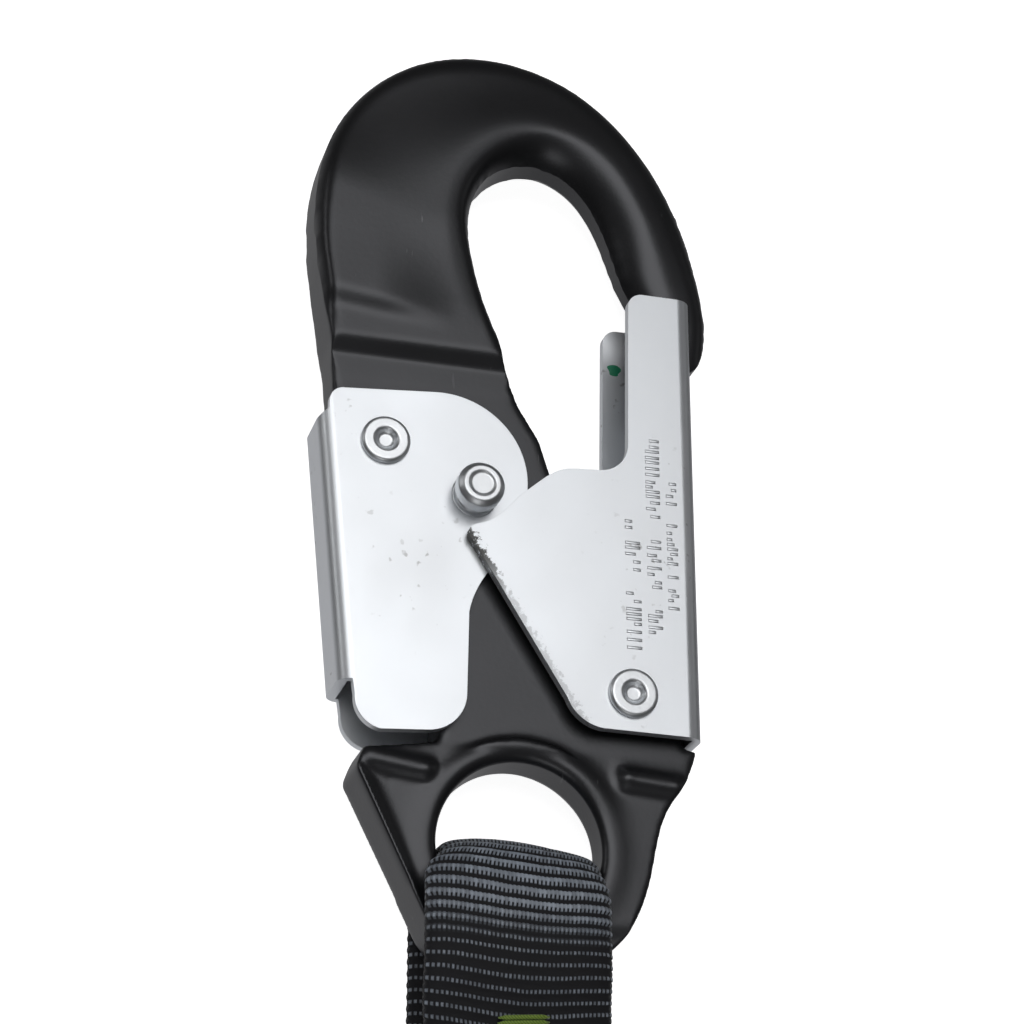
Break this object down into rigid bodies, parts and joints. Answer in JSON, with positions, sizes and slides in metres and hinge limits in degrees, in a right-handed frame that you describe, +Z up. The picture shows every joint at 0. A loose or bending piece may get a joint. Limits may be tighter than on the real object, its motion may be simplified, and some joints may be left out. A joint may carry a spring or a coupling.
{
  "type": "shock absorbing lanyard",
  "caption": "Elastic web lanyard with a double-locking snap hook at each end, a tear-web energy absorber pack and the strap put away in a tied hank.",
  "frame": {"origin": "middle of the lanyard's length and width without the free strap, on the floor that it lies on", "axes": "+X across the hooks, +Y towards hook A's bow along the lanyard, +Z up from the floor"},
  "size_m": [0.0604, 0.8524, 0.0311],
  "materials": {
    "black_forging": "black powder coat, satin",
    "zinc_plate": "bright zinc plate on stamped sheet",
    "zinc_pin": "bright zinc plate on turned steel",
    "brass_bush": "turned brass",
    "spring_wire": "drawn spring wire",
    "webbing": "gathered tubular polyester web",
    "thread": "yellow-green bonded thread",
    "tie_band": "hook-and-loop tape",
    "cover_fabric": "woven polyester cover",
    "rubber_band": "black rubber",
    "tear_web": "undyed tear-ply webbing",
    "wrap_film": "thin clear film",
    "clear_sleeve": "clear vinyl",
    "label_paper": "blank synthetic paper"
  },
  "bodies": {
    "lanyard": {"hook_body_a": "black_forging", "gate_bush_a": "brass_bush", "lever_bush_a": "brass_bush", "gate_spring_a": "spring_wire", "lever_spring_a": "spring_wire", "hook_body_b": "black_forging", "gate_bush_b": "brass_bush", "lever_bush_b": "brass_bush", "gate_spring_b": "spring_wire", "lever_spring_b": "spring_wire", "eye_loop_a": "webbing", "eye_loop_b": "webbing", "marker_stitching_a": "thread", "marker_stitching_b": "thread", "strap_lead": "webbing", "strap_hank": "webbing", "strap_tail": "webbing", "hank_tie": "tie_band", "pack_cover": "cover_fabric", "end_band_a": "rubber_band", "end_band_b": "rubber_band", "tear_webbing": "tear_web", "inner_wrap": "wrap_film", "label_sleeve": "clear_sleeve", "label_booklet": "label_paper"},
    "gate_a": {"gate_a": "zinc_plate", "gate_rivet_a": "zinc_pin"},
    "lever_a": {"lock_lever_a": "zinc_plate", "lever_rivet_a": "zinc_pin", "lock_stud_a": "zinc_pin"},
    "gate_b": {"gate_b": "zinc_plate", "gate_rivet_b": "zinc_pin"},
    "lever_b": {"lock_lever_b": "zinc_plate", "lever_rivet_b": "zinc_pin", "lock_stud_b": "zinc_pin"}
  },
  "joints": [
    {"name": "lever_a_squeeze", "type": "hinge", "parent": "lanyard", "child": "lever_a", "pos_m": [-0.0197, 0.3602, 0.0096], "axis": [0, 0, 1], "range_deg": [0, 16], "stiffness_Nm_per_rad": 0.12, "springref_deg": -28.65, "deforming": ["lever_spring_a"]},
    {"name": "gate_a_swing", "type": "hinge", "parent": "lanyard", "child": "gate_a", "pos_m": [0.0148, 0.3263, 0.0096], "axis": [0, 0, 1], "range_deg": [0, 26], "stiffness_Nm_per_rad": 0.08, "springref_deg": -28.65, "deforming": ["gate_spring_a"]},
    {"name": "lever_b_squeeze", "type": "hinge", "parent": "lanyard", "child": "lever_b", "pos_m": [0.0197, -0.3602, 0.0096], "axis": [0, 0, 1], "range_deg": [0, 16], "stiffness_Nm_per_rad": 0.12, "springref_deg": -28.65, "deforming": ["lever_spring_b"]},
    {"name": "gate_b_swing", "type": "hinge", "parent": "lanyard", "child": "gate_b", "pos_m": [-0.0148, -0.3263, 0.0096], "axis": [0, 0, 1], "range_deg": [0, 26], "stiffness_Nm_per_rad": 0.08, "springref_deg": -28.65, "deforming": ["gate_spring_b"]}
  ],
  "couplings": [
    {"joint": "gate_a_swing", "follows": "lever_a_squeeze", "ratio": 1.625},
    {"joint": "gate_b_swing", "follows": "lever_b_squeeze", "ratio": 1.625}
  ]
}
